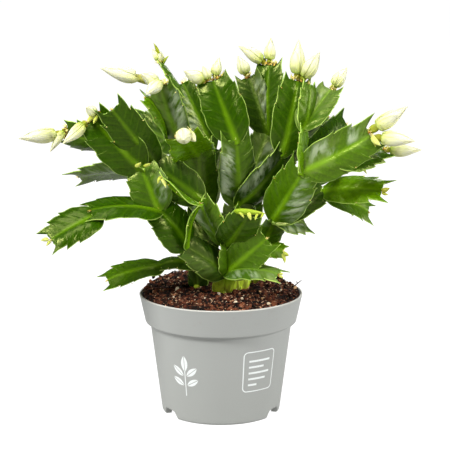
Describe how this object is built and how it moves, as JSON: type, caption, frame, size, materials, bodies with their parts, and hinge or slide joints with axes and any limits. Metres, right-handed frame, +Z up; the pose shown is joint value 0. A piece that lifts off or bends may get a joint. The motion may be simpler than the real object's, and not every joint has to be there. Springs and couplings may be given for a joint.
{
  "type": "potted christmas cactus",
  "caption": "Christmas cactus with flat, toothed, jointed stems and cream flower buds, growing in heaped peat in a round grey nursery pot with a stepped rim.",
  "frame": {"origin": "on the surface that the pot stands on, at the middle of the whole plant's width and depth, which is the pot's axis", "axes": "+Z up along the pot's axis, -Y towards the side that the picture shows, +X to that side's right"},
  "size_m": [0.2852, 0.174, 0.2744],
  "materials": {
    "pot_plastic": "satin light grey moulded plastic",
    "peat": "crumbly dark peat",
    "stem_green": "waxy deep green with a paler rib and rim",
    "bud_cream": "soft cream petals with a green foot"
  },
  "bodies": {
    "root": {"buds_back_left_crown": "bud_cream", "buds_back_left_droop": "bud_cream", "buds_back_left_far": "bud_cream", "buds_back_right_crown": "bud_cream", "buds_back_right_reach": "bud_cream", "buds_crown_dark": "bud_cream", "buds_crown_middle": "bud_cream", "buds_crown_right": "bud_cream", "buds_facing": "bud_cream", "buds_folded": "bud_cream", "buds_left_broad": "bud_cream", "buds_left_far": "bud_cream", "buds_reach_right": "bud_cream", "buds_ribbed_upper": "bud_cream", "buds_right_far": "bud_cream", "buds_silver_fan": "bud_cream", "buds_spur": "bud_cream", "pot": "pot_plastic", "soil": "peat", "stem_back_left": "stem_green", "stem_back_right": "stem_green", "stem_centre": "stem_green", "stem_front": "stem_green", "stem_left": "stem_green", "stem_right": "stem_green"}
  },
  "joints": []
}
